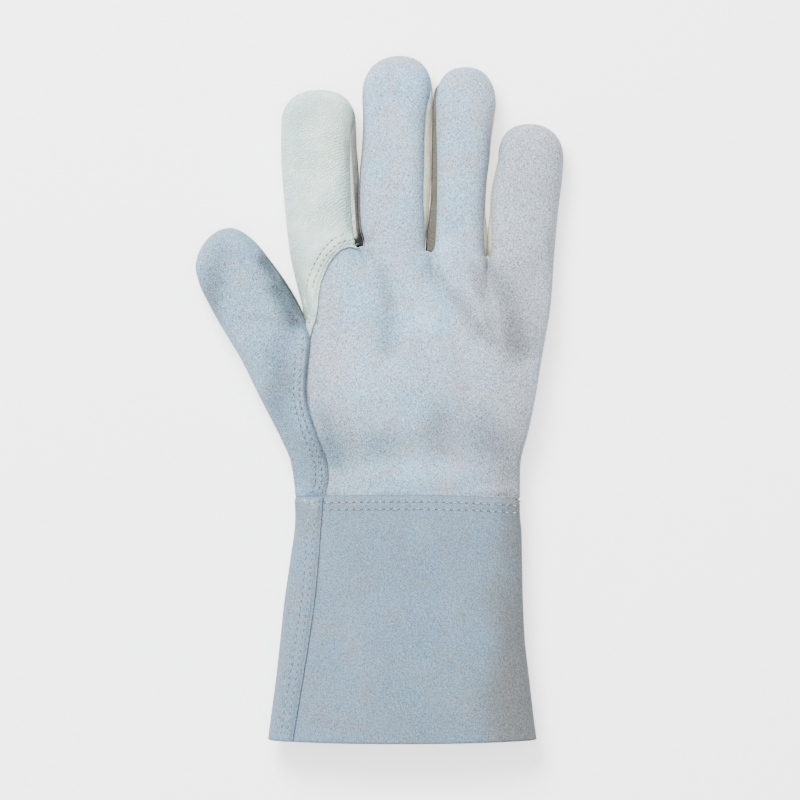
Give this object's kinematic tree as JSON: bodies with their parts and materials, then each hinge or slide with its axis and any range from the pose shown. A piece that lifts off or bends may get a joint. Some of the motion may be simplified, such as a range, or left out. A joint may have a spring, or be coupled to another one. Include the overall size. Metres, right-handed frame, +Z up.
{
  "type": "leather work glove",
  "caption": "Right-hand leather gauntlet work glove lying palm down: split leather back, thumb and long cuff, grain leather index finger and finger strips, hollow and open at the cuff.",
  "frame": {"origin": "middle of the glove's outline at the plane it lies on", "axes": "+Y from the cuff toward the fingertips, +Z up through the back of the hand, thumb toward -X"},
  "size_m": [0.1728, 0.3224, 0.0352],
  "materials": {
    "split_leather": "pale blue grey split cowhide with a short nap",
    "grain_leather": "cream grain cowhide, soft and slightly creased"
  },
  "bodies": {
    "root": {"back_panel": "split_leather", "index_wrap": "grain_leather", "thumb_panel": "split_leather", "thumb_front": "grain_leather", "palm_panel": "grain_leather", "fourchette_index_middle": "grain_leather", "fourchette_middle_ring": "grain_leather", "fourchette_ring_little": "grain_leather", "cuff": "split_leather"}
  },
  "joints": []
}
